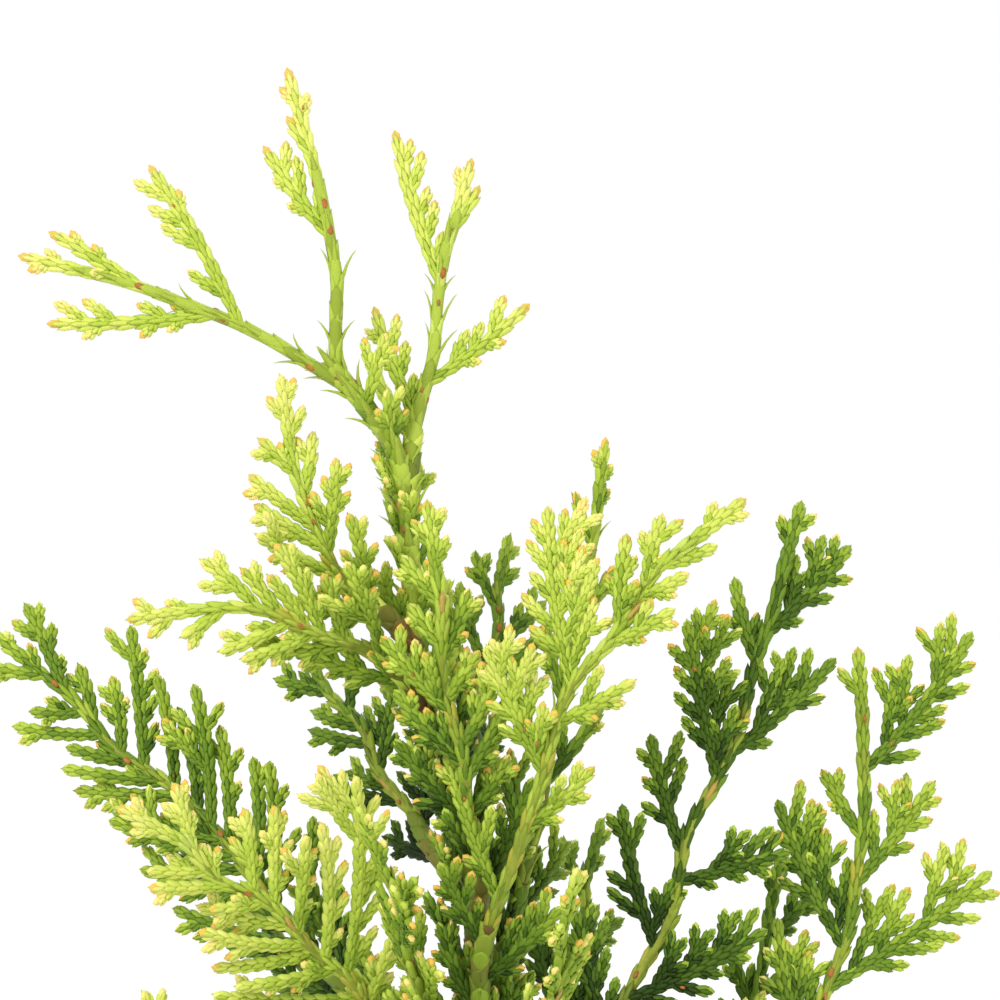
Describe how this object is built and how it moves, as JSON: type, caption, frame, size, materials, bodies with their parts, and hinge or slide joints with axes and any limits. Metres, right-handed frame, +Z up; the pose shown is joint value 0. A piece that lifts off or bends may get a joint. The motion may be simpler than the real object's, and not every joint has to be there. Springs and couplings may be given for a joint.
{
  "type": "potted giant arborvitae",
  "caption": "Young scale-leaved evergreen with ascending boughs and flat sprays, rooted in a plain round tapered nursery pot.",
  "frame": {"origin": "centre of the pot's flat underside, which stands on the ground", "axes": "+Z up along the trunk, +X to the right and +Y to the back as the picture sees the plant"},
  "size_m": [0.1121, 0.1094, 0.2831],
  "materials": {
    "plastic": "matt moulded black plastic",
    "soil": "crumbly potting mix",
    "bark": "thin red-brown bark",
    "twig": "olive green to reddish young bark",
    "foliage": "small satin scale leaves"
  },
  "bodies": {
    "root": {"bough_back_left": "twig", "bough_back_right": "twig", "bough_centre_behind": "twig", "bough_centre_front": "twig", "bough_centre_left": "twig", "bough_far_left": "twig", "bough_front_left": "twig", "bough_front_right": "twig", "bough_left_dark": "twig", "bough_left_front": "twig", "bough_left_level": "twig", "bough_left_low": "twig", "bough_left_upper": "twig", "bough_low_1": "twig", "bough_low_2": "twig", "bough_low_3": "twig", "bough_low_4": "twig", "bough_low_5": "twig", "bough_low_6": "twig", "bough_low_7": "twig", "bough_low_8": "twig", "bough_low_9": "twig", "bough_right_back": "twig", "bough_right_inner": "twig", "bough_right_low": "twig", "bough_right_outer": "twig", "bough_second_shoot": "twig", "foliage_back_left": "foliage", "foliage_back_right": "foliage", "foliage_centre_behind": "foliage", "foliage_centre_front": "foliage", "foliage_centre_left": "foliage", "foliage_far_left": "foliage", "foliage_front_left": "foliage", "foliage_front_right": "foliage", "foliage_leader": "foliage", "foliage_left_dark": "foliage", "foliage_left_front": "foliage", "foliage_left_level": "foliage", "foliage_left_low": "foliage", "foliage_left_shoot": "foliage", "foliage_left_upper": "foliage", "foliage_low_1": "foliage", "foliage_low_2": "foliage", "foliage_low_3": "foliage", "foliage_low_4": "foliage", "foliage_low_5": "foliage", "foliage_low_6": "foliage", "foliage_low_7": "foliage", "foliage_low_8": "foliage", "foliage_low_9": "foliage", "foliage_right_back": "foliage", "foliage_right_inner": "foliage", "foliage_right_low": "foliage", "foliage_right_outer": "foliage", "foliage_second_shoot": "foliage", "pot": "plastic", "soil": "soil", "trunk": "bark"}
  },
  "joints": []
}
